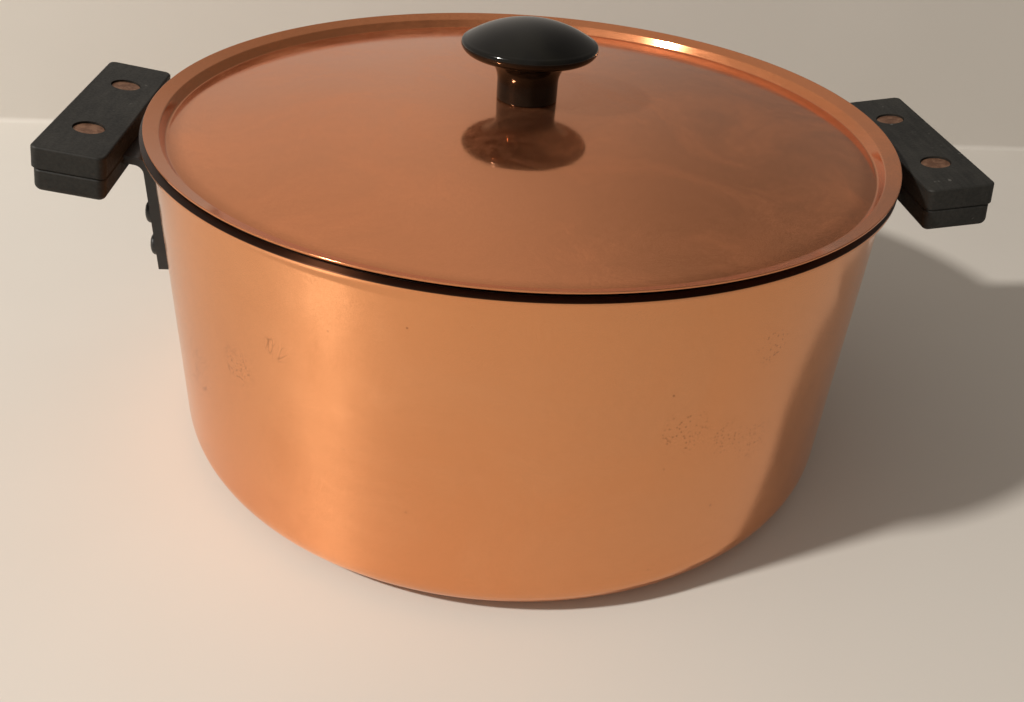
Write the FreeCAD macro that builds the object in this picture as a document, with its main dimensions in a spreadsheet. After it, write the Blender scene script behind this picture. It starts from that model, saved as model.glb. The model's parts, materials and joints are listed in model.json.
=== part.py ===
"""Two-handled lidded copper saucepan, as a parametric FreeCAD document.

The pot stands on the XY plane with its axis on Z. The handles lie on the X axis.
Every sub-part is a PartDesign body whose sizes are bound to the Sizes spreadsheet.
"""
import FreeCAD, Part
import math
import os
import Sketcher
from FreeCAD import Placement, Rotation, Vector

doc = FreeCAD.newDocument("CopperSaucepan")
TINY = 1e-4

# Driving dimensions in millimetres, and angles in degrees.
SIZES = [
    # pot
    ("body_radius", 99.5, "outer radius of the straight copper wall"),
    ("pot_height", 93.6, "floor to crest of lip"),
    ("corner_radius", 10.0, "outer radius between base and wall"),
    ("copper_gauge", 0.7, "thickness of the copper shell"),
    ("lining_gauge", 0.35, "thickness of the bright lining"),
    ("lip_reach", 2.4, "how far the lip stands out from the wall"),
    ("lip_bend", 0.8, "radius under the lip"),
    ("lip_gauge", 1.05, "thickness of the lip"),
    ("lip_fall", 0.7, "fall of the lip from crest to edge"),
    # lid
    ("lid_inset", 0.5, "lid edge inside the lip edge"),
    ("lid_gauge", 0.5, "thickness of the lid copper"),
    ("lid_lining_gauge", 0.25, "thickness of the lid lining"),
    ("lid_hem", 1.5, "lid lining's edge inside the lid's edge"),
    ("dish_width", 3.8, "radial width of the dished lid rim"),
    ("dish_rise", 1.52, "rise of the dished rim towards its edge"),
    ("step_run", 1.3, "radial run of the step down to the panel"),
    ("step_drop", 2.5, "drop of the step down to the panel"),
    ("step_round", 0.7, "rounding of the step's two bends"),
    ("panel_crown", 7.3, "rise of the panel from its border to its middle"),
    ("lid_seat_gap", 0.2, "clearance between dished rim and lip bend"),
    ("lid_offset", 0.6, "how far the lid lies off centre along X"),
    # knob and its fixings
    ("knob_height", 21.2, "knob base to crown"),
    ("knob_neck_radius", 8.4, "radius of the knob's neck"),
    ("knob_cap_radius", 18.7, "radius of the knob's cap"),
    ("knob_crown_height", 5.9, "cap edge to crown"),
    ("knob_edge_height", 2.9, "cap underside to cap edge"),
    ("insert_radius", 3.6, "outer radius of the threaded bush"),
    ("insert_length", 12.0, "length of the threaded bush"),
    ("insert_depth", 13.0, "depth of the bore for the bush"),
    ("screw_radius", 2.4, "radius of the knob screw's shank"),
    ("screw_hole_gap", 0.25, "radial clearance of the screw in lid and washer"),
    ("screw_reach", 10.0, "length of the screw inside the bush"),
    ("screw_head_radius", 4.4, "radius of the knob screw's head"),
    ("screw_head_height", 2.6, "height of the knob screw's head"),
    ("screw_slot_width", 1.2, "width of the screw's slot"),
    ("screw_slot_depth", 1.2, "depth of the screw's slot"),
    ("washer_radius", 6.6, "outer radius of the washer"),
    ("washer_gauge", 1.0, "thickness of the washer"),
    # handles
    ("grip_standoff", 15.2, "wall to the line of handle rivets"),
    ("seam_height", 85.4, "floor to the seam between scales, on the rivet line"),
    ("handle_pitch", 9.3, "outward rise of the handles in degrees"),
    ("scale_length", 68.0, "length of a handle scale"),
    ("scale_inner", 8.8, "rivet line to the scales' inner side"),
    ("scale_outer", 9.1, "rivet line to the upper scale's outer side"),
    ("lower_setback", 0.6, "lower scale's outer side behind the upper's"),
    ("upper_gauge", 6.0, "thickness of the upper scale"),
    ("lower_gauge", 6.0, "thickness of the lower scale"),
    ("scale_corner", 2.0, "radius of the scales' upright corners"),
    ("scale_top_round", 0.6, "rounding of the upper scale's top edges"),
    ("scale_foot_round", 1.8, "rounding of the lower scale's bottom edges"),
    ("seam_chamfer", 0.4, "chamfer along the seam between scales"),
    ("tang_gauge", 2.2, "thickness of the tang"),
    ("tang_bend", 2.5, "inner radius of the tang's bend"),
    ("tang_width", 34.0, "width of the tang on the wall and at the bend"),
    ("tang_head_width", 50.0, "width of the tang between the scales"),
    ("tang_head_inner", 6.0, "rivet line to the tang head's inner side"),
    ("tang_head_outer", 6.0, "rivet line to the tang head's outer side"),
    ("tang_foot_height", 50.0, "floor to the foot of the tang"),
    ("tang_recess_gap", 0.3, "clearance of the tang in the lower scale"),
    ("handle_rivet_pitch", 33.8, "distance between a handle's two rivets"),
    ("rivet_tube_radius", 2.6, "outer radius of the upper rivet half's tube"),
    ("rivet_pin_radius", 1.8, "radius of the lower rivet half's pin"),
    ("rivet_head_radius", 3.75, "radius of the handle rivets' heads"),
    ("rivet_head_gauge", 1.2, "thickness of the handle rivets' heads"),
    ("rivet_sink", 0.5, "how far the rivet heads lie below the scales' faces"),
    ("counterbore_gap", 0.25, "radial clearance of a head in its counterbore"),
    ("rivet_end_gap", 0.4, "space left at the ends of tube and pin"),
    # strap rivets through tang and wall
    ("strap_rivet_pitch", 26.0, "sideways distance between strap rivets"),
    ("strap_rivet_upper", 66.0, "floor to the upper strap rivets"),
    ("strap_rivet_lower", 56.0, "floor to the lower strap rivets"),
    ("strap_rivet_radius", 2.0, "shank radius of the strap rivets"),
    ("strap_head_radius", 3.1, "radius of the strap rivets' heads"),
    ("strap_head_height", 1.8, "height of the strap rivets' heads"),
    ("strap_head_round", 1.0, "rounding of the strap rivets' heads"),
    ("strap_tail_gauge", 0.9, "thickness of the flat heads inside the pot"),
]

sheet = doc.addObject("Spreadsheet::Sheet", "Sizes")
for row, (alias, number, meaning) in enumerate(SIZES, start=1):
    sheet.set("A%d" % row, alias)
    sheet.set("B%d" % row, str(number))
    sheet.set("C%d" % row, meaning)
    sheet.setAlias("B%d" % row, alias)
doc.recompute()


def size(text):
    """Write an expression with bare size names as one that reads the sheet."""
    names = sorted((alias for alias, _, _ in SIZES), key=len, reverse=True)
    for index, alias in enumerate(names):
        text = text.replace(alias, "<%d>" % index)
    for index, alias in enumerate(names):
        text = text.replace("<%d>" % index, "Sizes." + alias)
    return text


def value(text):
    """Number that an expression gives with the sheet's present sizes."""
    result = sheet.evalExpression(size(text))
    return float(getattr(result, "Value", result))


# ---------------------------------------------------------------- helpers

def origin_plane(body, role):
    for feature in body.Origin.OriginFeatures:
        if feature.Role == role:
            return feature
    raise ValueError(role)


def new_body(name):
    body = doc.addObject("PartDesign::Body", name)
    body.Label = name
    return body


def arc_between(start, end, radius):
    """Arc run anticlockwise from start to end."""
    chord = end - start
    rise = math.sqrt(max(radius ** 2 - (chord.Length / 2) ** 2, 0))
    leftwards = Vector(-chord.y, chord.x, 0).normalize()
    circle = Part.Circle((start + end) * 0.5 + leftwards * rise, Vector(0, 0, 1), radius)
    return Part.ArcOfCircle(circle, circle.parameter(start), circle.parameter(end))


def outline(body, name, plane, points):
    """Closed sketch through points. A point is (x, y) or (x, y, radius, side).

    x, y and radius are expressions. A point with a radius is reached along an arc
    of that radius, which turns to the given side on the way to it.
    """
    sketch = body.newObject("Sketcher::SketchObject", name)
    sketch.AttachmentSupport = [(origin_plane(body, plane), "")]
    sketch.MapMode = "FlatFace"
    places = [Vector(value(p[0]), value(p[1]), 0) for p in points]
    count = len(points)
    curves = []
    for index, point in enumerate(points):
        start, end = places[index - 1], places[index]
        if len(point) == 2:
            curves.append(Part.LineSegment(start, end))
        elif point[3] == "left":
            curves.append(arc_between(start, end, value(point[2])))
        else:
            curves.append(arc_between(end, start, value(point[2])))
    sketch.addGeometry(curves, False)
    for index in range(count):
        bind_corner(sketch, index, (index + 1) % count, points)
        if len(points[index]) == 4:
            bind(sketch, Sketcher.Constraint("Radius", index, value(points[index][2])),
                 points[index][2])
    return sketch


def bind(sketch, constraint, text):
    number = sketch.addConstraint(constraint)
    sketch.setExpression("Constraints[%d]" % number, size(text))


def bind_corner(sketch, index, following, points):
    """Hold the end of curve index at its point, and start the next curve there."""
    end = 1 if points[index][-1] == "right" else 2
    start = 2 if points[following][-1] == "right" else 1
    sketch.addConstraint(Sketcher.Constraint("Coincident", index, end, following, start))
    for kind, text in (("DistanceX", points[index][0]), ("DistanceY", points[index][1])):
        number = value(text)
        bind(sketch, Sketcher.Constraint(kind, -1, 1, index, end, number), text)


def turned(body, name, points, plane="XZ_Plane"):
    """Solid of revolution about the sketch's upright axis."""
    sketch = outline(body, name + "Outline", plane, points)
    feature = body.newObject("PartDesign::Revolution", name)
    feature.Profile = sketch
    feature.ReferenceAxis = (sketch, ["V_Axis"])
    feature.Angle = 360
    doc.recompute()
    return feature


def pad(body, name, sketch, length, midplane=False):
    feature = body.newObject("PartDesign::Pad", name)
    feature.Profile = sketch
    feature.setExpression("Length", size(length))
    if midplane:
        feature.SideType = "Symmetric"
    doc.recompute()
    return feature


def tube_cut(body, name, radius, height, x, y, z, yaw_pitch=None):
    """Cut a cylinder that starts at x, y, z and runs up, or along a turned axis."""
    cut = body.newObject("PartDesign::SubtractiveCylinder", name)
    cut.setExpression("Radius", size(radius))
    cut.setExpression("Height", size(height))
    if yaw_pitch:
        cut.Placement = Placement(Vector(), Rotation(Vector(0, 1, 0), 1.0))
        cut.setExpression("Placement.Rotation.Angle", size(yaw_pitch))
    cut.setExpression("Placement.Base.x", size(x))
    cut.setExpression("Placement.Base.y", size(y))
    cut.setExpression("Placement.Base.z", size(z))
    doc.recompute()
    return cut


def ring_edges(shape, rings):
    """Names of the circular edges about Z with the given radii and heights."""
    names = []
    for index, edge in enumerate(shape.Edges, start=1):
        if edge.Degenerated or not isinstance(edge.Curve, Part.Circle):
            continue
        centre = edge.Curve.Center
        for radius, height in rings:
            fits = abs(edge.Curve.Radius - radius) < TINY and abs(centre.z - height) < TINY
            if fits and math.hypot(centre.x, centre.y) < TINY:
                names.append("Edge%d" % index)
    return names


def soften(body, name, kind, base, edges, amount):
    """Fillet or chamfer named edges of a feature."""
    feature = body.newObject("PartDesign::" + kind, name)
    feature.Base = (base, edges)
    feature.setExpression("Radius" if kind == "Fillet" else "Size", size(amount))
    doc.recompute()
    return feature


# ---------------------------------------------------------------- shared places

RIM = "(body_radius + lip_reach)"
WALL_INSIDE = "(body_radius - copper_gauge - lining_gauge)"
LIP_CENTRE_X = "(body_radius + lip_bend)"
LIP_ROUND = "(lip_bend + copper_gauge + lining_gauge)"
LIP_CENTRE_Z = "(pot_height - %s)" % LIP_ROUND

# The lid's dished rim lies on the lip's inner bend, one seat gap away from it.
DISH_ANGLE = "atan(dish_rise / dish_width)"
STEP_ANGLE = "atan(step_drop / step_run)"
LID_EDGE_X = "(%s - lid_inset)" % RIM
LID_WALL = "(lid_gauge + lid_lining_gauge)"
SEAT_X = "(%s - (%s + lid_seat_gap) * sin(%s))" % (LIP_CENTRE_X, LIP_ROUND, DISH_ANGLE)
SEAT_Z = "(%s + (%s + lid_seat_gap) * cos(%s))" % (LIP_CENTRE_Z, LIP_ROUND, DISH_ANGLE)
LID_EDGE_Z = "(%s + (%s - %s) * dish_rise / dish_width + %s / cos(%s))" % (
    SEAT_Z, LID_EDGE_X, SEAT_X, LID_WALL, DISH_ANGLE)
DISH_FOOT_X = "(%s - dish_width)" % LID_EDGE_X
DISH_FOOT_Z = "(%s - dish_rise)" % LID_EDGE_Z
PANEL_X = "(%s - step_run)" % DISH_FOOT_X
PANEL_Z = "(%s - step_drop)" % DISH_FOOT_Z
CROWN_Z = "(%s + panel_crown)" % PANEL_Z
CROWN_ROUND = "((%s ^ 2 + panel_crown ^ 2) / (2 * panel_crown))" % PANEL_X
CROWN_ANGLE = "asin(%s / %s)" % (PANEL_X, CROWN_ROUND)

# Handle seam: a plane that rises outwards through the rivet line.
PITCH = "(handle_pitch * 1 deg)"
RIVET_LINE = "(body_radius + grip_standoff)"


def along_seam(out, up):
    """x and z of a point given along the seam from the rivet line, and above it."""
    x = "(%s + (%s) * cos(%s) - (%s) * sin(%s))" % (RIVET_LINE, out, PITCH, up, PITCH)
    z = "(seam_height + (%s) * sin(%s) + (%s) * cos(%s))" % (out, PITCH, up, PITCH)
    return x, z


# ---------------------------------------------------------------- pot

def rivet_holes(body):
    """Four holes along X through both walls, for the strap rivets."""
    for side, y in (("Rear", "strap_rivet_pitch / 2"), ("Front", "-strap_rivet_pitch / 2")):
        for level in ("upper", "lower"):
            tube_cut(body, "Hole" + side + level.title(), "strap_rivet_radius",
                     "2 * body_radius + 2 * tang_gauge", "-body_radius - tang_gauge", y,
                     "strap_rivet_" + level, "90 deg")


def make_pot_shell():
    """Copper from the base's middle up the wall and out to the lip's edge."""
    body = new_body("pot_shell")
    inside = "(body_radius - copper_gauge)"
    under_lip = "(pot_height - lip_gauge)"
    edge = "(pot_height - lip_fall)"
    turned(body, "Shell", [
        ("0", "0"),
        ("body_radius - corner_radius", "0"),
        ("body_radius", "corner_radius", "corner_radius", "left"),
        ("body_radius", under_lip + " - lip_bend"),
        (LIP_CENTRE_X, under_lip, "lip_bend", "right"),
        (RIM, edge + " - lip_gauge"),
        (RIM, edge),
        (LIP_CENTRE_X, "pot_height"),
        (LIP_CENTRE_X, "pot_height - lining_gauge"),
        (inside, LIP_CENTRE_Z, "lip_bend + copper_gauge", "left"),
        (inside, "corner_radius"),
        ("body_radius - corner_radius", "copper_gauge",
         "corner_radius - copper_gauge", "right"),
        ("0", "copper_gauge"),
    ])
    rivet_holes(body)
    return body


def make_pot_lining():
    """Bright lining on the whole inside, up to the lip's crest."""
    body = new_body("pot_lining")
    outside = "(body_radius - copper_gauge)"
    floor = "(copper_gauge + lining_gauge)"
    turned(body, "Lining", [
        ("0", "copper_gauge"),
        ("body_radius - corner_radius", "copper_gauge"),
        (outside, "corner_radius", "corner_radius - copper_gauge", "left"),
        (outside, LIP_CENTRE_Z),
        (LIP_CENTRE_X, "pot_height - lining_gauge", "lip_bend + copper_gauge", "right"),
        (LIP_CENTRE_X, "pot_height"),
        (WALL_INSIDE, LIP_CENTRE_Z, LIP_ROUND, "left"),
        (WALL_INSIDE, "corner_radius"),
        ("body_radius - corner_radius", floor, "corner_radius - " + floor, "right"),
        ("0", floor),
    ])
    rivet_holes(body)
    return body


# ---------------------------------------------------------------- lid

def fold(x, z, depth, outer, inner):
    """Place of a fold between two slopes, seen at a depth below the upper face."""
    spread = "(1 + cos(%s - %s))" % (inner, outer)
    return ("(%s + (%s) * (sin(%s) + sin(%s)) / %s)" % (x, depth, outer, inner, spread),
            "(%s - (%s) * (cos(%s) + cos(%s)) / %s)" % (z, depth, outer, inner, spread))


def lid_line(depth, hem):
    """Edge, two folds and middle of the lid at a depth below its upper face."""
    return [
        ("(%s - %s)" % (LID_EDGE_X, hem), "(%s - (%s) / cos(%s) - %s * dish_rise / dish_width)" % (
            LID_EDGE_Z, depth, DISH_ANGLE, hem)),
        fold(DISH_FOOT_X, DISH_FOOT_Z, depth, DISH_ANGLE, STEP_ANGLE),
        fold(PANEL_X, PANEL_Z, depth, STEP_ANGLE, "(-%s)" % CROWN_ANGLE),
        ("0", "(%s - (%s))" % (CROWN_Z, depth)),
    ]


def crown_arc(border, middle):
    """Radius of the panel's arc from its border to its middle on the axis."""
    rise = "(%s - %s)" % (middle[1], border[1])
    return "((%s ^ 2 + %s ^ 2) / (2 * %s))" % (border[0], rise, rise)


def lid_layer(name, top, bottom, hem):
    """One sheet of the lid, between two depths, ending a hem inside the lid's edge."""
    body = new_body(name)
    upper, lower = lid_line(top, hem), lid_line(bottom, hem)
    formed = turned(body, "Sheet", [
        upper[0], upper[1], upper[2],
        upper[3] + (crown_arc(upper[2], upper[3]), "left"),
        lower[3],
        lower[2] + (crown_arc(lower[2], lower[3]), "right"),
        lower[1], lower[0],
    ])
    folds = [(value(x), value(z)) for x, z in upper[1:3] + lower[1:3]]
    soften(body, "StepRounds", "Fillet", formed, ring_edges(formed.Shape, folds), "step_round")
    tube_cut(body, "ScrewHole", "screw_radius + screw_hole_gap", "pot_height", "0", "0",
             "pot_height / 2")
    return body


def crown_fall(radius):
    """How far the crowned panel has fallen at a radius from its middle."""
    return "(%s - sqrt(%s ^ 2 - (%s) ^ 2))" % (CROWN_ROUND, CROWN_ROUND, radius)


KNOB_Z = CROWN_Z
WASHER_TOP = "(%s - %s - %s)" % (CROWN_Z, LID_WALL, crown_fall("washer_radius"))


def make_knob():
    body = new_body("knob")
    edge = "(%s + knob_height - knob_crown_height)" % KNOB_Z
    under = "(%s - knob_edge_height)" % edge
    flare = "(knob_cap_radius - knob_edge_height - knob_neck_radius)"
    crown_round = "((knob_cap_radius ^ 2 + knob_crown_height ^ 2) / (2 * knob_crown_height))"
    turned(body, "Turning", [
        ("0", KNOB_Z),
        ("knob_neck_radius", KNOB_Z),
        ("knob_neck_radius", "%s - %s" % (under, flare)),
        ("knob_neck_radius + " + flare, under, flare, "right"),
        ("knob_cap_radius", edge, "knob_edge_height", "left"),
        ("0", "%s + knob_height" % KNOB_Z, crown_round, "left"),
    ])
    tube_cut(body, "InsertBore", "insert_radius", "insert_depth", "0", "0", KNOB_Z)
    return body


def make_knob_insert():
    body = new_body("knob_insert")
    turned(body, "Bush", [
        ("screw_radius", KNOB_Z),
        ("insert_radius", KNOB_Z),
        ("insert_radius", "%s + insert_length" % KNOB_Z),
        ("screw_radius", "%s + insert_length" % KNOB_Z),
    ])
    return body


def make_knob_washer():
    body = new_body("knob_washer")
    bore = "(screw_radius + screw_hole_gap)"
    turned(body, "Disc", [
        (bore, WASHER_TOP + " - washer_gauge"),
        ("washer_radius", WASHER_TOP + " - washer_gauge"),
        ("washer_radius", WASHER_TOP),
        (bore, WASHER_TOP),
    ])
    return body


def make_knob_screw():
    body = new_body("knob_screw")
    seat = "(%s - washer_gauge)" % WASHER_TOP
    head_round = "(screw_head_height * 0.35)"
    turned(body, "Screw", [
        ("0", seat + " - screw_head_height"),
        ("screw_head_radius - " + head_round, seat + " - screw_head_height"),
        ("screw_head_radius", "%s - screw_head_height + %s" % (seat, head_round),
         head_round, "left"),
        ("screw_head_radius", seat),
        ("screw_radius", seat),
        ("screw_radius", "%s + screw_reach" % KNOB_Z),
        ("0", "%s + screw_reach" % KNOB_Z),
    ])
    slot = body.newObject("PartDesign::SubtractiveBox", "Slot")
    slot.setExpression("Length", size("2 * screw_head_radius"))
    slot.setExpression("Width", size("screw_slot_width"))
    slot.setExpression("Height", size("screw_slot_depth"))
    slot.setExpression("Placement.Base.x", size("-screw_head_radius"))
    slot.setExpression("Placement.Base.y", size("-screw_slot_width / 2"))
    slot.setExpression("Placement.Base.z", size(seat + " - screw_head_height"))
    doc.recompute()
    return body


# ---------------------------------------------------------------- handles

def seam_placement(side):
    """Frame on the seam at the middle of the rivet line: x outwards, z up off the seam."""
    lean = Placement(Vector(value(RIVET_LINE), 0, value("seam_height")),
                     Rotation(Vector(0, 1, 0), -value("handle_pitch")))
    return side_placement(side) * lean


def side_placement(side):
    turn = 180 if side == "left" else 0
    return Placement(Vector(), Rotation(Vector(0, 0, 1), turn))


def across(side, end, pitch):
    """Sideways place of one of a pair at a pitch, in the frame of its side."""
    rearwards = (end == "rear") == (side == "right")
    return value(pitch + " / 2") * (1 if rearwards else -1)


def scale_block(body, outer, gauge, base):
    """Slab with its rivet line on Y, from height base up by gauge."""
    sketch = outline(body, "Plan", "XY_Plane", [
        ("-scale_inner", "-scale_length / 2"),
        (outer, "-scale_length / 2"),
        (outer, "scale_length / 2"),
        ("-scale_inner", "scale_length / 2"),
    ])
    slab = pad(body, "Slab", sketch, gauge)
    slab.Placement = Placement()
    if base < 0:
        slab.Reversed = True
        doc.recompute()
    corners = [name for name, edge in named_edges(slab.Shape) if is_upright(edge)]
    return soften(body, "Corners", "Fillet", slab, corners, "scale_corner")


def named_edges(shape):
    return [("Edge%d" % number, edge) for number, edge in enumerate(shape.Edges, start=1)]


def is_upright(edge):
    first, last = edge.Vertexes[0].Point, edge.Vertexes[-1].Point
    return abs(first.z - last.z) > TINY and Vector(first.x - last.x, first.y - last.y).Length < TINY


def rim_at(shape, height):
    """Names of all edges that lie wholly at one height."""
    names = []
    for name, edge in named_edges(shape):
        if all(abs(vertex.Z - height) < TINY for vertex in edge.Vertexes):
            names.append(name)
    return names


def scale_holes(body, face, direction):
    """Rivet holes, and counterbores sunk from the face at the given height."""
    depth = "(rivet_sink + rivet_head_gauge)"
    for side, y in (("Rear", "handle_rivet_pitch / 2"), ("Front", "-handle_rivet_pitch / 2")):
        tube_cut(body, "RivetHole" + side, "rivet_tube_radius",
                 "upper_gauge + lower_gauge", "0", y, "-lower_gauge" if direction < 0 else "0")
        bottom = face + " - " + depth if direction > 0 else face
        tube_cut(body, "Counterbore" + side, "rivet_head_radius + counterbore_gap", depth,
                 "0", y, bottom)


def make_upper_scale(side):
    body = new_body(side + "_upper_scale")
    block = scale_block(body, "scale_outer", "upper_gauge", 0)
    top = soften(body, "TopRound", "Fillet", block,
                 rim_at(block.Shape, value("upper_gauge")), "scale_top_round")
    soften(body, "SeamEdge", "Chamfer", top, rim_at(top.Shape, 0), "seam_chamfer")
    scale_holes(body, "upper_gauge", 1)
    body.Placement = seam_placement(side)
    return body


def make_lower_scale(side):
    body = new_body(side + "_lower_scale")
    block = scale_block(body, "scale_outer - lower_setback", "lower_gauge", -1)
    foot = soften(body, "FootRound", "Fillet", block,
                  rim_at(block.Shape, -value("lower_gauge")), "scale_foot_round")
    soften(body, "SeamEdge", "Chamfer", foot, rim_at(foot.Shape, 0), "seam_chamfer")
    scale_holes(body, "-lower_gauge", -1)
    recess = outline(body, "TangRecess", "XY_Plane", tang_plan("tang_recess_gap",
                                                               "-scale_inner - tang_gauge"))
    pocket = body.newObject("PartDesign::Pocket", "TangPocket")
    pocket.Profile = recess
    pocket.setExpression("Length", size("tang_gauge"))
    doc.recompute()
    body.Placement = seam_placement(side)
    return body


def tang_plan(gap, neck_end):
    """Plan of the tang between the scales: a wide head with a narrower neck."""
    neck = "(tang_width / 2 + %s)" % gap
    head = "(tang_head_width / 2 + %s)" % gap
    inner = "(-tang_head_inner - %s)" % gap
    outer = "(tang_head_outer + %s)" % gap
    return [(neck_end, "-" + neck), (inner, "-" + neck), (inner, "-" + head),
            (outer, "-" + head), (outer, head), (inner, head), (inner, neck), (neck_end, neck)]


def make_tang(side):
    """Strap on the wall that bends outwards and widens into a head between the scales."""
    body = new_body(side + "_tang")
    bend_outer = "(tang_bend + tang_gauge)"
    bend_x = "(body_radius + %s)" % bend_outer
    bend_top_x = "(%s - %s * sin(%s))" % (bend_x, bend_outer, PITCH)
    seam_there = "(seam_height + (%s - %s) * tan(%s))" % (bend_top_x, RIVET_LINE, PITCH)
    bend_z = "(%s - %s * cos(%s))" % (seam_there, bend_outer, PITCH)
    bend_low = ("(%s - tang_bend * sin(%s))" % (bend_x, PITCH),
                "(%s + tang_bend * cos(%s))" % (bend_z, PITCH))
    inside_wall = "(body_radius - tang_width / 4)"
    tongue_end = "-tang_head_inner + tang_gauge"
    strap = outline(body, "StrapSide", "XZ_Plane", [
        (inside_wall, "tang_foot_height"),
        ("body_radius + tang_gauge", "tang_foot_height"),
        ("body_radius + tang_gauge", bend_z),
        (bend_low[0], bend_low[1], "tang_bend", "right"),
        along_seam(tongue_end, "-tang_gauge"),
        along_seam(tongue_end, "0"),
        (bend_top_x, seam_there),
        ("body_radius", bend_z, bend_outer, "left"),
        (inside_wall, bend_z),
    ])
    pad(body, "Strap", strap, "tang_width", midplane=True)
    head = outline(body, "HeadSide", "XZ_Plane", [
        along_seam("-tang_head_inner", "-tang_gauge"),
        along_seam("tang_head_outer", "-tang_gauge"),
        along_seam("tang_head_outer", "0"),
        along_seam("-tang_head_inner", "0"),
    ])
    pad(body, "Head", head, "tang_head_width", midplane=True)
    tube_cut(body, "WallCurve", "body_radius", "pot_height", "0", "0", "0")
    below = along_seam("0", "-lower_gauge")
    for end, y in (("Rear", "handle_rivet_pitch / 2"), ("Front", "-handle_rivet_pitch / 2")):
        tube_cut(body, "HandleRivetHole" + end, "rivet_tube_radius", "2 * lower_gauge",
                 below[0], y, below[1], "-handle_pitch * 1 deg")
    for end, y in (("Rear", "strap_rivet_pitch / 2"), ("Front", "-strap_rivet_pitch / 2")):
        for level in ("upper", "lower"):
            tube_cut(body, "StrapRivetHole" + end + level.title(), "strap_rivet_radius",
                     "body_radius", "body_radius / 2", y, "strap_rivet_" + level, "90 deg")
    body.Placement = side_placement(side)
    return body


def make_handle_rivet(side, end):
    """Cutlery rivet in two halves: a tube from above, and a pin pressed into it."""
    sideways = Placement(Vector(0, across(side, end, "handle_rivet_pitch"), 0), Rotation())
    place = seam_placement(side) * sideways
    sunk = "(rivet_sink + rivet_head_gauge)"
    top_seat = "(upper_gauge - %s)" % sunk
    foot_seat = "(-lower_gauge + %s)" % sunk
    upper = new_body("%s_%s_rivet_upper_half" % (side, end))
    turned(upper, "Tube", [
        ("rivet_pin_radius", foot_seat + " + rivet_end_gap"),
        ("rivet_tube_radius", foot_seat + " + rivet_end_gap"),
        ("rivet_tube_radius", top_seat),
        ("rivet_head_radius", top_seat),
        ("rivet_head_radius", top_seat + " + rivet_head_gauge"),
        ("0", top_seat + " + rivet_head_gauge"),
        ("0", top_seat),
        ("rivet_pin_radius", top_seat),
    ])
    upper.Placement = place
    lower = new_body("%s_%s_rivet_lower_half" % (side, end))
    turned(lower, "Pin", [
        ("0", foot_seat + " - rivet_head_gauge"),
        ("rivet_head_radius", foot_seat + " - rivet_head_gauge"),
        ("rivet_head_radius", foot_seat),
        ("rivet_pin_radius", foot_seat),
        ("rivet_pin_radius", top_seat + " - rivet_end_gap"),
        ("0", top_seat + " - rivet_end_gap"),
    ])
    lower.Placement = place
    return [upper, lower]


def make_strap_rivet(side, end, level):
    """Pan-headed rivet along X through strap, shell and lining, closed flat inside."""
    body = new_body("%s_strap_rivet_%s_%s" % (side, end, level))
    reach = "(strap_rivet_pitch / 2 + strap_head_radius)"
    tail = "sqrt(%s ^ 2 - %s ^ 2)" % (WALL_INSIDE, reach)
    face = "(body_radius + tang_gauge)"
    shoulder = "(%s + strap_head_height - strap_head_round)" % face
    turned(body, "Rivet", [
        ("0", tail + " - strap_tail_gauge"),
        ("strap_head_radius", tail + " - strap_tail_gauge"),
        ("strap_head_radius", tail),
        ("strap_rivet_radius", tail),
        ("strap_rivet_radius", face),
        ("strap_head_radius", face),
        ("strap_head_radius", shoulder),
        ("strap_head_radius - strap_head_round", shoulder + " + strap_head_round",
         "strap_head_round", "left"),
        ("0", shoulder + " + strap_head_round"),
    ])
    y = across(side, end, "strap_rivet_pitch")
    along_x = Placement(Vector(0, y, value("strap_rivet_" + level)),
                        Rotation(Vector(0, 1, 0), 90))
    body.Placement = side_placement(side) * along_x
    return body


# ---------------------------------------------------------------- assembly

pot = [make_pot_shell(), make_pot_lining()]
lid = [lid_layer("lid_shell", "0", "lid_gauge", "0"),
       lid_layer("lid_lining", "lid_gauge", LID_WALL, "lid_hem"),
       make_knob(), make_knob_insert(), make_knob_screw(), make_knob_washer()]
handles = []
for side_name in ("left", "right"):
    handles += [make_tang(side_name), make_upper_scale(side_name), make_lower_scale(side_name)]
    for end_name in ("front", "rear"):
        handles += make_handle_rivet(side_name, end_name)
        for level_name in ("upper", "lower"):
            handles.append(make_strap_rivet(side_name, end_name, level_name))

# The lid lies a little off centre. Its dished rim rides up the lip on that side, so it tilts.
lid_tilt = math.degrees(math.atan(value("lid_offset * dish_rise / dish_width") / value(SEAT_X)))
lid_place = Placement(Vector(value("lid_offset"), 0, 0), Rotation(Vector(0, 1, 0), -lid_tilt),
                      Vector(0, 0, value(SEAT_Z)))
for body in lid:
    body.Placement = lid_place

doc.recompute()
parts = pot + lid + handles
for item in doc.Objects:
    if "Invalid" in item.State or "Error" in item.State:
        raise RuntimeError("%s: %s" % (item.Name, item.State))
for body in parts:
    if body.Shape.isNull() or not body.Shape.isValid() or not body.Shape.Solids:
        raise RuntimeError("bad shape: " + body.Label)

os.makedirs("parts", exist_ok=True)
for body in parts:
    body.Shape.exportStep("parts/%s.step" % body.Label)
print(len(parts), "parts written")
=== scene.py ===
"""Looks of the two-handled copper saucepan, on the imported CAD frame.

Lengths are in millimetres and become metres where a mesh, light or camera is made.
"""
import json
import math

import bmesh
import bpy
from mathutils import Matrix, Vector


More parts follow.
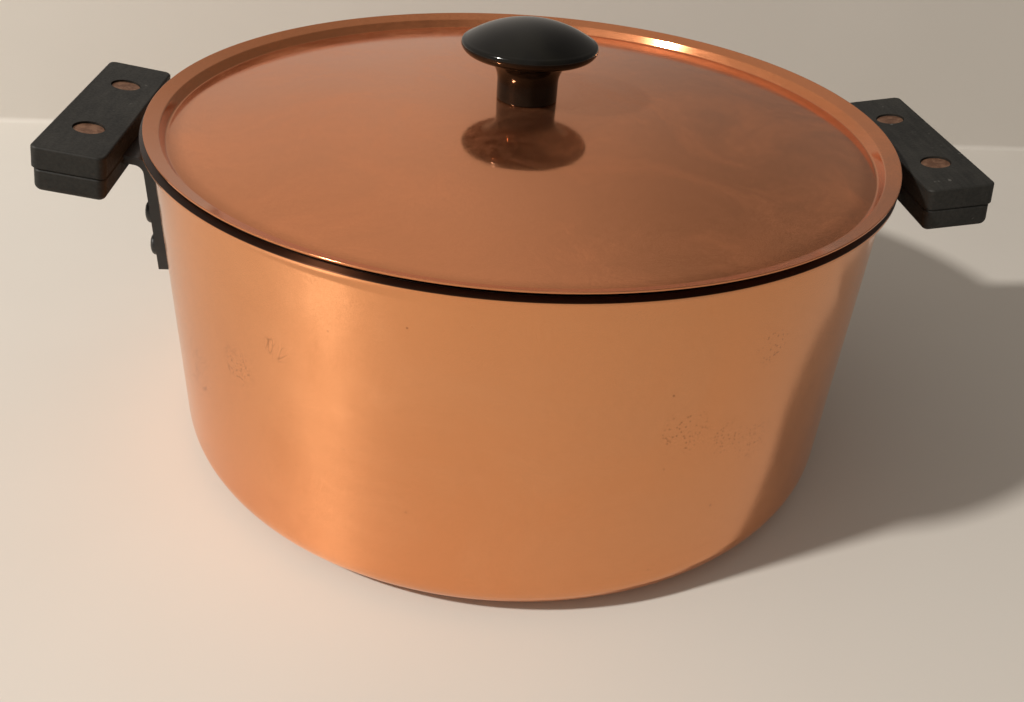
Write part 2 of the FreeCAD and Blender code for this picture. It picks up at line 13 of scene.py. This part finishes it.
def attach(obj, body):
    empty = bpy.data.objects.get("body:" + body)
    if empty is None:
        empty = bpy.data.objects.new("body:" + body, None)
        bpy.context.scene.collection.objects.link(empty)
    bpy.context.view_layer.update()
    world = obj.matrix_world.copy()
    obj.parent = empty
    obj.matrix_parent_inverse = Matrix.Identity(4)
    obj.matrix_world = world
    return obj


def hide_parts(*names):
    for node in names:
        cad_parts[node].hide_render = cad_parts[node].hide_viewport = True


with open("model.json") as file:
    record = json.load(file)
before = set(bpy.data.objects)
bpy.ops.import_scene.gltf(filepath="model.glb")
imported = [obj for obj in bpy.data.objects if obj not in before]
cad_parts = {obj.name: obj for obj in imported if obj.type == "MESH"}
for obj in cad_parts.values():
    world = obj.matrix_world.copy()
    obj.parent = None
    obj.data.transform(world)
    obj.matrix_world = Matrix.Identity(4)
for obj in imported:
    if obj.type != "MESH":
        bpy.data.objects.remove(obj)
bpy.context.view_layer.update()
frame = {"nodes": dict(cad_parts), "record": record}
MM = 0.001

# ---------------------------------------------------------------- sizes, as in the CAD

BODY_R = 99.5
HEIGHT = 93.6
CORNER = 10.0
COPPER = 0.7
LINING = 0.35
WALL = COPPER + LINING
LIP_REACH = 2.4
LIP_BEND = 0.8
LIP_GAUGE = 1.05
LIP_FALL = 0.7
RIM_R = BODY_R + LIP_REACH
LIP_X = BODY_R + LIP_BEND
LIP_EDGE_ROUND = 0.25
CREST_FLAT = 0.05
CREST_X = LIP_X + CREST_FLAT
LIP_ROUND = LIP_BEND + WALL

LID_COPPER = 0.5
LID_LINING = 0.25
LID_WALL = LID_COPPER + LID_LINING
LID_INSET = 0.5
LID_HEM = 1.5
DISH_WIDTH = 3.8
DISH_RISE = 1.52
STEP_RUN = 1.3
STEP_DROP = 2.5
STEP_ROUND = 0.7
CROWN = 7.3
SEAT_GAP = 0.2
LID_OFFSET = 0.6
SCREW_HOLE = 2.65
LID_EDGE_ROUND = 0.15
LINING_EDGE_ROUND = 0.08

KNOB_HEIGHT = 21.2
KNOB_NECK = 8.4
KNOB_CAP = 18.7
KNOB_CROWN = 5.9
KNOB_EDGE = 2.9
KNOB_FOOT_ROUND = 0.4
KNOB_RIM = 1.1
KNOB_RIM_RISE = 0.55

# Slopes of the lid's dished rim and of the step inside it.
DISH = math.atan(DISH_RISE / DISH_WIDTH)
STEP = math.atan(STEP_DROP / STEP_RUN)

# The dish's underside clears the round inside the lip by the seat gap, square to its slope.
SEAT_X = LIP_X - (LIP_ROUND + SEAT_GAP) * math.sin(DISH)
SEAT_Z = HEIGHT - LIP_ROUND + (LIP_ROUND + SEAT_GAP) * math.cos(DISH)
LID_R = RIM_R - LID_INSET
LID_Z = SEAT_Z + (LID_R - SEAT_X) * math.tan(DISH) + LID_WALL / math.cos(DISH)
PANEL_R = LID_R - DISH_WIDTH - STEP_RUN
PANEL_Z = LID_Z - DISH_RISE - STEP_DROP
CROWN_Z = PANEL_Z + CROWN
CROWN_R = (PANEL_R ** 2 + CROWN ** 2) / (2 * CROWN)

# The lid sits a little to one side, and so tilts a little on the lip.
TILT = math.atan(LID_OFFSET * math.tan(DISH) / SEAT_X)
LID_PLACE = (Matrix.Translation((LID_OFFSET * MM, 0, SEAT_Z * MM))
             @ Matrix.Rotation(-TILT, 4, "Y") @ Matrix.Translation((0, 0, -SEAT_Z * MM)))


# ---------------------------------------------------------------- sections

# A point this near the Z axis, in millimetres, counts as on it.
AXIS = 0.01


def arc(centre, radius, start, end, step=6):
    """Points on a circle from one angle to another, in degrees."""
    count = max(2, round(abs(end - start) / step))
    angles = [math.radians(start + (end - start) * i / count) for i in range(count + 1)]
    return [(centre[0] + radius * math.cos(a), centre[1] + radius * math.sin(a)) for a in angles]


def rounded(corners, step=9):
    """Section through (r, z, radius) corners, each rounded by its radius."""
    points = []
    for index, (x, z, radius) in enumerate(corners):
        here = Vector((x, z))
        before = Vector(corners[index - 1][:2]) - here
        after = Vector(corners[(index + 1) % len(corners)][:2]) - here
        if radius == 0:
            points.append((x, z))
            continue
        before.normalize()
        after.normalize()
        half = before.angle(after) / 2
        centre = here + (before + after).normalized() * radius / math.sin(half)
        first = here + before * radius / math.tan(half) - centre
        turn = math.pi - 2 * half
        side = 1 if before.x * after.y - before.y * after.x < 0 else -1
        count = max(2, math.ceil(math.degrees(turn) / step))
        for i in range(count + 1):
            spin = Matrix.Rotation(side * turn * i / count, 2)
            points.append(tuple(centre + spin @ first))
    return points


def supported(points, edge=0.15, longest=3.0):
    """Adds points along straight runs so that the rounds beside them shade cleanly."""
    full = []
    for index, point in enumerate(points):
        start, end = Vector(point), Vector(points[(index + 1) % len(points)])
        full.append(point)
        length = (end - start).length
        if length < 4 * edge or (start.x < AXIS and end.x < AXIS):
            continue
        inner = length - 2 * edge
        count = max(1, math.ceil(inner / longest))
        for i in range(count + 1):
            full.append(tuple(start.lerp(end, (edge + inner * i / count) / length)))
    return full


def lathe(name, section, material, body, node, place=Matrix(), around=288):
    """Turned solid from a closed section of (r, z) points in millimetres."""
    mesh = bmesh.new()
    rings = []
    for r, z in section:
        if r < AXIS:
            rings.append([mesh.verts.new((0, 0, z * MM))])
            continue
        angles = [2 * math.pi * i / around for i in range(around)]
        ring = [mesh.verts.new((r * MM * math.cos(a), r * MM * math.sin(a), z * MM))
                for a in angles]
        rings.append(ring)
    for index, ring in enumerate(rings):
        following = rings[(index + 1) % len(rings)]
        if len(ring) == 1 and len(following) == 1:
            continue
        for i in range(around):
            j = (i + 1) % around
            if len(ring) == 1:
                mesh.faces.new((ring[0], following[j], following[i]))
            elif len(following) == 1:
                mesh.faces.new((ring[i], ring[j], following[0]))
            else:
                mesh.faces.new((ring[i], ring[j], following[j], following[i]))
    bmesh.ops.recalc_face_normals(mesh, faces=mesh.faces)
    for face in mesh.faces:
        face.smooth = True
    data = bpy.data.meshes.new(name)
    mesh.transform(place)
    mesh.to_mesh(data)
    mesh.free()
    data.materials.append(material)
    turned = bpy.data.objects.new(name, data)
    bpy.context.collection.objects.link(turned)
    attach(turned, body)
    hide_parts(node)
    return turned


def wall_line(depth):
    """Corners from the base's middle to the foot of the wall, at a depth inside."""
    return [(0, depth, 0), (BODY_R - depth, depth, CORNER - depth)]


def inner_bend(depth):
    """Corners from the lip's crest down to the wall, at a depth below the inside."""
    return [(CREST_X, HEIGHT - depth, 0),
            (BODY_R - WALL + depth, HEIGHT - depth, LIP_ROUND - depth)]


def pot_copper():
    """Section of the copper: base, wall and lip."""
    under = HEIGHT - LIP_GAUGE
    lip = [(BODY_R, under, LIP_BEND), (RIM_R, under - LIP_FALL, LIP_EDGE_ROUND),
           (RIM_R, HEIGHT - LIP_FALL, LIP_EDGE_ROUND), (CREST_X, HEIGHT, 0)]
    back = inner_bend(LINING) + list(reversed(wall_line(COPPER)))
    return supported(rounded(wall_line(0) + lip + back))


def pot_lining():
    """Section of the bright lining, from the base's middle to the lip's crest."""
    outer = wall_line(COPPER) + list(reversed(inner_bend(LINING)))
    inner = inner_bend(0) + list(reversed(wall_line(WALL)))
    return supported(rounded(outer + inner))


def fold(x, z, depth, outer, inner):
    """Place of a fold between two slopes, at a depth below the upper face."""
    spread = 1 + math.cos(inner - outer)
    return (x + depth * (math.sin(outer) + math.sin(inner)) / spread,
            z - depth * (math.cos(outer) + math.cos(inner)) / spread)


def lid_line(depth, edge, hem):
    """Corners from the lid's edge to its panel, and the crown's points in to the screw hole."""
    rim = (LID_R - hem, LID_Z - depth / math.cos(DISH) - hem * math.tan(DISH))
    foot = fold(LID_R - DISH_WIDTH, LID_Z - DISH_RISE, depth, DISH, STEP)
    panel = fold(PANEL_R, PANEL_Z, depth, STEP, -math.asin(PANEL_R / CROWN_R))
    crown = CROWN_R - depth
    border = math.degrees(math.acos(panel[0] / crown))
    dome = arc((0, CROWN_Z - CROWN_R), crown, border, 90, step=0.25)
    dome = [point for point in dome if point[0] > SCREW_HOLE]
    dome.append((SCREW_HOLE, CROWN_Z - depth))
    return [rim + (edge,), foot + (STEP_ROUND,), panel + (STEP_ROUND,)], dome[1:]


def lid_layer(top, bottom, edge, hem):
    """Section of one layer of the lid, between two depths below the upper face."""
    upper, upper_dome = lid_line(top, edge, hem)
    lower, lower_dome = lid_line(bottom, edge, hem)
    above, below = upper_dome[0] + (0,), lower_dome[0] + (0,)
    bends = rounded([below] + list(reversed(lower)) + upper + [above], step=6)
    return supported(bends[1:-1] + upper_dome + list(reversed(lower_dome)), longest=2.0)


def knob_section():
    """Mushroom knob: straight neck, flare, rounded cap edge and shallow dome."""
    edge_z = CROWN_Z + KNOB_HEIGHT - KNOB_CROWN
    under = edge_z - KNOB_EDGE
    flare = KNOB_CAP - KNOB_EDGE - KNOB_NECK
    dome_r = (KNOB_CAP ** 2 + KNOB_CROWN ** 2) / (2 * KNOB_CROWN)
    foot_r = KNOB_NECK - KNOB_FOOT_ROUND
    foot = [(0, CROWN_Z), (foot_r, CROWN_Z)]
    neck = arc((foot_r, CROWN_Z + KNOB_FOOT_ROUND), KNOB_FOOT_ROUND, -90, 0, step=15)
    throat = arc((KNOB_NECK + flare, under - flare), flare, 180, 90, step=4)
    lip = arc((KNOB_CAP - KNOB_EDGE, edge_z), KNOB_EDGE, -90, -18, step=6)
    reach = math.degrees(math.asin((KNOB_CAP - KNOB_RIM) / dome_r))
    dome = arc((0, CROWN_Z + KNOB_HEIGHT - dome_r), dome_r, 90 - reach, 90, step=1.5)
    meet = Vector(lip[-1]), Vector((KNOB_CAP, edge_z + KNOB_RIM_RISE)), Vector(dome[0])
    soft = [tuple(meet[0].lerp(meet[1], t).lerp(meet[1].lerp(meet[2], t), t))
            for t in (0.2, 0.4, 0.6, 0.8)]
    return supported(foot + neck[1:] + throat + lip[1:] + soft + dome, longest=2.0)


# ---------------------------------------------------------------- materials

# Painted shade under the lid's edge, on the lip's top and on the lining at the crest.
LIP_PAINTED_SHADE = (0.032, 0.012, 0.006)
PIT_COLOUR = (0.30, 0.11, 0.05)
# Painted reflection of the lid's dark step wall in the panel near its edge.
STEP_REFLECTION_COLOUR = (0.50, 0.185, 0.08)

# The copper darkens with painted shade of the lid between these depths below the top of the lip's
# outer edge.
LIP_SHADE_START, LIP_SHADE_FULL = 0.25, 0.05

# The lining darkens with painted shade of the lid between these distances out from its wall, up
# to just above the pot.
CREST_START, CREST_FULL = 0.3, 0.6
POT_TOP_START, POT_TOP_END = 0.05, 0.1

# A fine noise is cut at a threshold to scatter rough spots over a clear polish.
HAZE_GRAIN = 24000
HAZE_SPREAD = 0.32
HAZE_EDGE = 0.01


class Look:
    """A node material with a Principled shader, and short ways to add nodes to it."""

    def __init__(self, name, **inputs):
        self.material = bpy.data.materials.new(name)
        self.material.use_nodes = True
        self.tree = self.material.node_tree
        self.shader = self.tree.nodes["Principled BSDF"]
        self.set(self.shader, inputs)
        self.place = self.add("ShaderNodeTexCoord").outputs["Object"]

    def set(self, node, inputs):
        """Links or sets sockets, by index or by name with underscores for spaces."""
        for key, given in inputs.items():
            socket = node.inputs[key if isinstance(key, int) else key.replace("_", " ")]
            if isinstance(given, bpy.types.NodeSocket):
                self.tree.links.new(given, socket)
            elif isinstance(given, tuple) and len(given) == 3 and socket.type == "RGBA":
                socket.default_value = given + (1,)
            else:
                socket.default_value = given

    def add(self, kind, inputs=None, **settings):
        node = self.tree.nodes.new(kind)
        for key, given in settings.items():
            setattr(node, key, given)
        self.set(node, inputs or {})
        return node

    def maths(self, operation, a, b=0.0, clamp=False):
        return self.add("ShaderNodeMath", {0: a, 1: b}, operation=operation,
                        use_clamp=clamp).outputs[0]

    def stretch(self, x, y, z, vector=None):
        """Coordinates scaled along each axis, for streaks."""
        node = self.add("ShaderNodeMapping", {"Vector": vector or self.place, "Scale": (x, y, z)})
        return node.outputs[0]

    def noise(self, scale, detail=4.0, roughness=0.55, vector=None, distortion=0.0):
        node = self.add("ShaderNodeTexNoise", {
            "Vector": vector or self.place, "Scale": scale, "Detail": detail,
            "Roughness": roughness, "Distortion": distortion})
        return node.outputs["Fac"]

    def span(self, value, low, high, to_low=0.0, to_high=1.0):
        """Maps low..high to to_low..to_high, clamped, with a smooth run between."""
        node = self.add("ShaderNodeMapRange", {
            "Value": value, "From Min": low, "From Max": high, "To Min": to_low,
            "To Max": to_high}, interpolation_type="SMOOTHSTEP")
        return node.outputs[0]

    def mix(self, amount, a, b):
        node = self.add("ShaderNodeMix", data_type="RGBA")
        self.set(node, {0: amount, 6: a, 7: b})
        return node.outputs[2]

    def axes(self):
        """The three coordinates of the place, in metres."""
        return self.add("ShaderNodeSeparateXYZ", {0: self.place}).outputs

    def height(self):
        """Height above the floor in millimetres."""
        return self.maths("MULTIPLY", self.axes()[2], 1 / MM)

    def radius(self):
        """Distance from the Z axis in millimetres."""
        parts = self.axes()
        flat = self.add("ShaderNodeCombineXYZ", {0: parts[0], 1: parts[1]}).outputs[0]
        away = self.add("ShaderNodeVectorMath", {0: flat}, operation="LENGTH").outputs[1]
        return self.maths("MULTIPLY", away, 1 / MM)

    def around(self):
        """Coordinates unrolled about Z: angle times the wall's radius, height, distance."""
        parts = self.axes()
        angle = self.maths("ARCTAN2", parts[1], parts[0])
        along = self.maths("MULTIPLY", angle, BODY_R * MM)
        outward = self.maths("MULTIPLY", self.radius(), MM)
        return self.add("ShaderNodeCombineXYZ", {0: along, 1: parts[2], 2: outward}).outputs[0]

    def hazed(self, clear, share, rough, patch):
        """Clear roughness, with fine rough spots on a share of it that the patch shifts."""
        grain = self.maths("ADD", self.noise(HAZE_GRAIN, 1, 0.5), patch)
        edge = 0.5 + HAZE_SPREAD * (0.5 - share)
        return self.add("ShaderNodeMapRange", {
            "Value": grain, "From Min": edge - HAZE_EDGE, "From Max": edge + HAZE_EDGE,
            "To Min": clear, "To Max": rough}).outputs[0]

    def near_any(self, spots):
        """The largest of near() over a list of points with their reach."""
        amount = 0.0
        for point, reach in spots:
            amount = self.maths("MAXIMUM", amount, self.near(point, reach))
        return amount

    def pits(self, scale, low, high, least):
        """Small round pits, in the Voronoi cells whose random value passes the least."""
        cells = self.add("ShaderNodeTexVoronoi", {"Vector": self.place, "Scale": scale}).outputs
        dots = self.span(cells["Distance"], low, high, 1.0, 0.0)
        return self.maths("MULTIPLY", dots, self.span(cells["Color"], least, least + 0.02))

    def scratches(self, scale, width):
        """Fine curved lines, where a noise passes through its middle."""
        off = self.maths("SUBTRACT", self.noise(scale, 1, 0.4, distortion=2.0), 0.5)
        return self.span(self.maths("ABSOLUTE", off), 0.0, width, 1.0, 0.0)

    def near(self, point, reach):
        """1 at a point given in millimetres, falling to 0 at a distance."""
        centre = tuple(value * MM for value in point)
        away = self.add("ShaderNodeVectorMath", {0: self.place, 1: centre},
                        operation="DISTANCE").outputs[1]
        return self.span(away, 0.0, reach * MM, 1.0, 0.0)

    def bump(self, height, distance, strength=1.0, normal=None):
        """Normal bumped by a height value, with the distance in millimetres."""
        inputs = {"Height": height, "Distance": distance * MM, "Strength": strength}
        if normal:
            inputs["Normal"] = normal
        return self.add("ShaderNodeBump", inputs).outputs[0]

    def finish(self, **inputs):
        """Sets the shader's last sockets and returns the material."""
        self.set(self.shader, inputs)
        return self.material


def wall_point(angle, height):
    """Point on the pot's wall, by angle from +X in degrees and height."""
    turn = math.radians(angle)
    return (BODY_R * math.cos(turn), BODY_R * math.sin(turn), height)


# Worn places on the wall: a point and how far it reaches, in millimetres.
PITTED = ((wall_point(290, 55), 10), (wall_point(297, 50), 8), (wall_point(303, 46), 9),
          (wall_point(302, 73), 7), (wall_point(226, 55), 8))
SCRATCHED = ((wall_point(213, 42), 13), (wall_point(226, 55), 8), (wall_point(234, 66), 5))


def wear(look):
    """Amount of wear on the wall: clusters of pits, lone pits and curved scratches."""
    pitted = look.span(look.near_any(PITTED), 0.0, 0.6)
    scratched = look.span(look.near_any(SCRATCHED), 0.0, 0.5)
    pits = look.maths("MULTIPLY", look.pits(scale=1150, low=0.16, high=0.34, least=0.36), pitted)
    lone_pits = look.pits(scale=170, low=0.03, high=0.065, least=0.6)
    lines = look.maths("MULTIPLY", look.scratches(scale=120, width=0.02), scratched)
    marks = look.maths("MAXIMUM", look.maths("MAXIMUM", pits, lone_pits),
                       look.maths("MULTIPLY", lines, 0.7))
    return look.maths("MULTIPLY", marks, 0.65)


def polished_copper():
    look = Look("polished_copper", Metallic=1.0, Anisotropic=0.94, Anisotropic_Rotation=0.25,
                Coat_Weight=0.10, Coat_Roughness=0.4)
    unrolled = look.around()
    polish = look.noise(1.0, 5, 0.6, look.stretch(160, 2600, 60, unrolled))
    haze = look.noise(22, 5, 0.6, distortion=0.6)
    hairlines = look.noise(1.0, 2, 0.5, look.stretch(90, 9000, 90, unrolled), 0.4)
    worn = wear(look)
    tint = look.mix(look.span(haze, 0.35, 0.7), (0.81, 0.350, 0.152), (0.85, 0.383, 0.175))
    colour = look.mix(worn, tint, PIT_COLOUR)
    # Painted shade: the lid's shade on the top of the lip, as a dark colour.
    lip_painted_shade = look.span(look.height(), HEIGHT - LIP_FALL - LIP_SHADE_START,
                        HEIGHT - LIP_FALL - LIP_SHADE_FULL)
    colour = look.mix(lip_painted_shade, colour, LIP_PAINTED_SHADE)
    cloud = look.maths("ADD", look.maths("MULTIPLY", haze, 0.6),
                       look.maths("MULTIPLY", polish, 0.4))
    clear = look.span(cloud, 0.3, 0.7, 0.03, 0.10)
    lip = look.span(look.height(), HEIGHT - LIP_GAUGE - LIP_FALL, HEIGHT - LIP_GAUGE)
    dulled = look.maths("MULTIPLY", look.maths("MAXIMUM", worn, lip), 0.25)
    clear = look.maths("ADD", clear, dulled, clamp=True)
    patch = look.span(haze, 0.3, 0.7, -0.03, 0.03)
    rough = look.hazed(clear, share=0.36, rough=0.43, patch=patch)
    normal = look.bump(look.noise(9, 1, 0.4), 1.2, 0.25)
    normal = look.bump(hairlines, 0.02, 0.35, normal)
    upright = look.add("ShaderNodeTangent", direction_type="RADIAL", axis="Z").outputs[0]
    return look.finish(Base_Color=colour, Roughness=rough, Normal=normal, Tangent=upright)


# Distances in from the panel's edge, between which the lid's copper darkens: a painted reflection
# of the step wall.
STEP_REFLECTION_INNER = 5.3
STEP_REFLECTION_OUTER = 1.3


def dull_copper():
    look = Look("lid_copper", Metallic=1.0)
    haze = look.noise(16, 6, 0.6, distortion=0.8)
    cloud = look.noise(5, 3, 0.5)
    colour = look.mix(look.span(cloud, 0.35, 0.65), (0.86, 0.345, 0.157), (0.91, 0.385, 0.187))
    # Painted reflection: the step wall mirrored in the panel, darker towards the panel's edge.
    step_reflection = look.span(look.radius(), PANEL_R - STEP_REFLECTION_INNER, PANEL_R - STEP_REFLECTION_OUTER, 0.0, 0.5)
    colour = look.mix(step_reflection, colour, STEP_REFLECTION_COLOUR)
    clear = look.span(haze, 0.3, 0.7, 0.06, 0.14)
    patch = look.span(look.noise(30, 5, 0.65, distortion=1.0), 0.35, 0.7, -0.03, 0.05)
    rough = look.hazed(clear, share=0.22, rough=0.6, patch=patch)
    scuffs = look.noise(1.0, 3, 0.6, look.stretch(900, 60, 60))
    cross = look.noise(1.0, 3, 0.6, look.stretch(70, 800, 60))
    normal = look.bump(look.noise(12, 1, 0.4), 0.8, 0.10)
    normal = look.bump(look.maths("ADD", scuffs, cross), 0.006, 0.3, normal)
    return look.finish(Base_Color=colour, Roughness=rough, Normal=normal)


def bright_lining():
    look = Look("bright_lining", Metallic=1.0)
    rings = look.noise(1.0, 3, 0.6, look.stretch(60, 3600, 3600, look.around()))
    cloud = look.noise(18, 4, 0.55)
    colour = look.mix(look.span(cloud, 0.3, 0.7), (0.60, 0.585, 0.56), (0.68, 0.67, 0.65))
    # Painted shade: the lid's shade on the lining at the lip's crest, kept off the lid's own
    # lining.
    crest = look.span(look.radius(), BODY_R - WALL + CREST_START, BODY_R - WALL + CREST_FULL)
    on_pot = look.span(look.height(), HEIGHT + POT_TOP_START, HEIGHT + POT_TOP_END, 1.0, 0.0)
    colour = look.mix(look.maths("MULTIPLY", crest, on_pot), colour, LIP_PAINTED_SHADE)
    rough = look.span(rings, 0.3, 0.7, 0.24, 0.36)
    return look.finish(Base_Color=colour, Roughness=rough, Normal=look.bump(rings, 0.02, 0.4))


def aged_copper():
    look = Look("aged_copper", Metallic=0.85)
    blotch = look.noise(420, 4, 0.6, distortion=0.5)
    grit = look.noise(2200, 3, 0.6)
    colour = look.mix(look.span(blotch, 0.35, 0.68), (0.20, 0.10, 0.06), (0.36, 0.20, 0.125))
    rough = look.span(grit, 0.3, 0.7, 0.42, 0.6)
    return look.finish(Base_Color=colour, Roughness=rough, Normal=look.bump(grit, 0.05, 0.5))


def black_steel():
    look = Look("black_steel", Coat_Weight=0.25, Coat_Roughness=0.3)
    grain = look.noise(900, 4, 0.6)
    worn = look.span(look.noise(160, 4, 0.6), 0.62, 0.76)
    colour = look.mix(worn, (0.010, 0.009, 0.008), (0.030, 0.024, 0.020))
    rough = look.span(grain, 0.3, 0.7, 0.34, 0.5)
    return look.finish(Base_Color=colour, Roughness=rough, Normal=look.bump(grain, 0.04, 0.35))


def matte_black():
    look = Look("grip_black", Specular_IOR_Level=0.3)
    streaks = look.noise(1.0, 5, 0.65, look.stretch(900, 90, 900))
    grit = look.noise(1500, 4, 0.65)
    cloud = look.noise(70, 4, 0.6)
    tone = look.maths("ADD", look.maths("MULTIPLY", streaks, 0.5),
                      look.maths("MULTIPLY", cloud, 0.5))
    colour = look.mix(look.span(tone, 0.35, 0.68), (0.009, 0.009, 0.008), (0.023, 0.022, 0.019))
    dust = look.span(look.noise(500, 2, 0.5), 0.7, 0.78)
    colour = look.mix(look.maths("MULTIPLY", dust, 0.5), colour, (0.12, 0.115, 0.105))
    rough = look.span(grit, 0.3, 0.7, 0.5, 0.66)
    texture = look.maths("ADD", grit, streaks)
    return look.finish(Base_Color=colour, Roughness=rough, Normal=look.bump(texture, 0.06, 0.5))


def gloss_black():
    look = Look("knob_black", Specular_IOR_Level=0.28)
    cloud = look.noise(90, 3, 0.5)
    fine = look.noise(1800, 3, 0.6)
    colour = look.mix(look.span(cloud, 0.35, 0.65), (0.003, 0.0027, 0.0022),
                      (0.006, 0.0055, 0.004))
    rough = look.span(fine, 0.3, 0.7, 0.10, 0.16)
    return look.finish(Base_Color=colour, Roughness=rough, Normal=look.bump(cloud, 0.08, 0.2))


def plated(name, dark, light):
    look = Look(name, Metallic=1.0)
    cloud = look.noise(300, 4, 0.6)
    colour = look.mix(look.span(cloud, 0.35, 0.65), dark, light)
    rough = look.span(look.noise(1500, 3, 0.6), 0.3, 0.7, 0.26, 0.4)
    return look.finish(Base_Color=colour, Roughness=rough)


LOOKS = {
    "copper": polished_copper(),
    "lid_copper": dull_copper(),
    "bright_steel": bright_lining(),
    "aged_copper": aged_copper(),
    "black_steel": black_steel(),
    "grip_black": matte_black(),
    "knob_black": gloss_black(),
    "brass": plated("brass", (0.55, 0.39, 0.16), (0.70, 0.52, 0.24)),
    "plated_steel": plated("plated_steel", (0.50, 0.50, 0.49), (0.64, 0.64, 0.63)),
}

# ---------------------------------------------------------------- object

lathe("pot_copper", pot_copper(), LOOKS["copper"], "pot", "pot_shell")
lathe("pot_bright_lining", pot_lining(), LOOKS["bright_steel"], "pot", "pot_lining")
lathe("lid_copper", lid_layer(0, LID_COPPER, LID_EDGE_ROUND, 0), LOOKS["lid_copper"],
      "lid", "lid_shell", LID_PLACE)
lathe("lid_bright_lining", lid_layer(LID_COPPER, LID_WALL, LINING_EDGE_ROUND, LID_HEM),
      LOOKS["bright_steel"], "lid", "lid_lining", LID_PLACE)
lathe("knob_turned", knob_section(), LOOKS["knob_black"], "lid", "knob", LID_PLACE, around=160)

for part in frame["record"]["subparts"]:
    cad = frame["nodes"][part["node"]]
    for holder in cad.material_slots:
        holder.material = LOOKS[part["material_slot"]]


# ---------------------------------------------------------------- stage

WALL_TURN = math.radians(2.06)
WALL_PLACE = 227.3
WALL_TOP = 100
FLOOR_BEND = 2.5
FLOOR_REACH = 1600

LAMP_PLACE = (-944, -449, 998)
LAMP_AIM = (0, 0, 50)
LAMP_SIZE = 90
LAMP_WATTS = 19
LAMP_TINT = (1.0, 0.95, 0.88)

ROOM_TINT = (1.0, 0.90, 0.80, 1)
ROOM_LEFT, ROOM_RIGHT = 0.49, 0.19
ROOM_FALL_START, ROOM_FALL_END = -0.1, 0.4


def paper():
    look = Look("pale_paper", Roughness=0.85)
    cloud = look.noise(3.0, 4, 0.5)
    fibre = look.noise(900, 3, 0.6)
    colour = look.mix(look.span(cloud, 0.3, 0.7), (0.575, 0.545, 0.50), (0.625, 0.595, 0.55))
    return look.finish(Base_Color=colour, Normal=look.bump(fibre, 0.05, 0.2))


def paper_sweep():
    """Pale sheet that lies flat, bends up behind the object and stands."""
    line = [(-FLOOR_REACH, 0.0), (WALL_PLACE - FLOOR_BEND, 0.0)]
    line += arc((WALL_PLACE - FLOOR_BEND, FLOOR_BEND), FLOOR_BEND, -90, 0)[1:]
    line.append((WALL_PLACE, WALL_TOP))
    mesh = bmesh.new()
    rows = [[mesh.verts.new((x * MM, y * MM, z * MM)) for x in (-FLOOR_REACH, FLOOR_REACH)]
            for y, z in line]
    for lower, upper in zip(rows, rows[1:]):
        face = mesh.faces.new((lower[0], lower[1], upper[1], upper[0]))
        face.smooth = True
    data = bpy.data.meshes.new("paper_sweep")
    mesh.to_mesh(data)
    mesh.free()
    data.materials.append(paper())
    sheet = bpy.data.objects.new("paper_sweep", data)
    sheet.rotation_euler.z = WALL_TURN
    bpy.context.collection.objects.link(sheet)


def side_lamp():
    """One round lamp, high on the left and a little in front."""
    data = bpy.data.lights.new("side_lamp", "AREA")
    data.shape = "DISK"
    data.size = LAMP_SIZE * MM
    data.energy = LAMP_WATTS
    data.color = LAMP_TINT
    lamp = bpy.data.objects.new("side_lamp", data)
    lamp.location = Vector(LAMP_PLACE) * MM
    aim = (Vector(LAMP_AIM) - Vector(LAMP_PLACE)).to_track_quat("-Z", "Y")
    lamp.rotation_euler = aim.to_euler()
    bpy.context.collection.objects.link(lamp)


def room_light():
    """Soft light from all round, falling off from the room's left to its right."""
    world = bpy.data.worlds.new("room")
    bpy.context.scene.world = world
    world.use_nodes = True
    tree = world.node_tree
    ray = tree.nodes.new("ShaderNodeTexCoord").outputs["Generated"]
    parts = tree.nodes.new("ShaderNodeSeparateXYZ")
    tree.links.new(ray, parts.inputs[0])
    across = tree.nodes.new("ShaderNodeMapRange")
    across.interpolation_type = "SMOOTHSTEP"
    for key, given in (("From Min", ROOM_FALL_START), ("From Max", ROOM_FALL_END),
                       ("To Min", ROOM_LEFT), ("To Max", ROOM_RIGHT)):
        across.inputs[key].default_value = given
    tree.links.new(parts.outputs[0], across.inputs["Value"])
    background = tree.nodes["Background"]
    background.inputs["Color"].default_value = ROOM_TINT
    tree.links.new(across.outputs[0], background.inputs["Strength"])


paper_sweep()
side_lamp()
room_light()

# ---------------------------------------------------------------- camera

CAMERA_PLACE = (-21.6, -262.3, 188.0)
CAMERA_YAW = math.radians(5.1)
CAMERA_PITCH = math.radians(33.47)
CAMERA_ROLL = math.radians(4.25)
CAMERA_LENS = 33.98


def camera_turn():
    """Rotation of a camera that looks along +Y, turned right, tipped down and rolled."""
    forward = Vector((math.sin(CAMERA_YAW) * math.cos(CAMERA_PITCH),
                      math.cos(CAMERA_YAW) * math.cos(CAMERA_PITCH), -math.sin(CAMERA_PITCH)))
    level = Vector((math.cos(CAMERA_YAW), -math.sin(CAMERA_YAW), 0))
    upright = level.cross(forward)
    right = math.cos(CAMERA_ROLL) * level + math.sin(CAMERA_ROLL) * upright
    above = -math.sin(CAMERA_ROLL) * level + math.cos(CAMERA_ROLL) * upright
    return Matrix((right, above, -forward)).transposed().to_4x4()


camera_data = bpy.data.cameras.new("camera")
camera_data.lens = CAMERA_LENS
camera = bpy.data.objects.new("camera", camera_data)
camera.matrix_world = Matrix.Translation(Vector(CAMERA_PLACE) * MM) @ camera_turn()
bpy.context.collection.objects.link(camera)
bpy.context.scene.camera = camera
bpy.context.scene.view_settings.view_transform = "Standard"
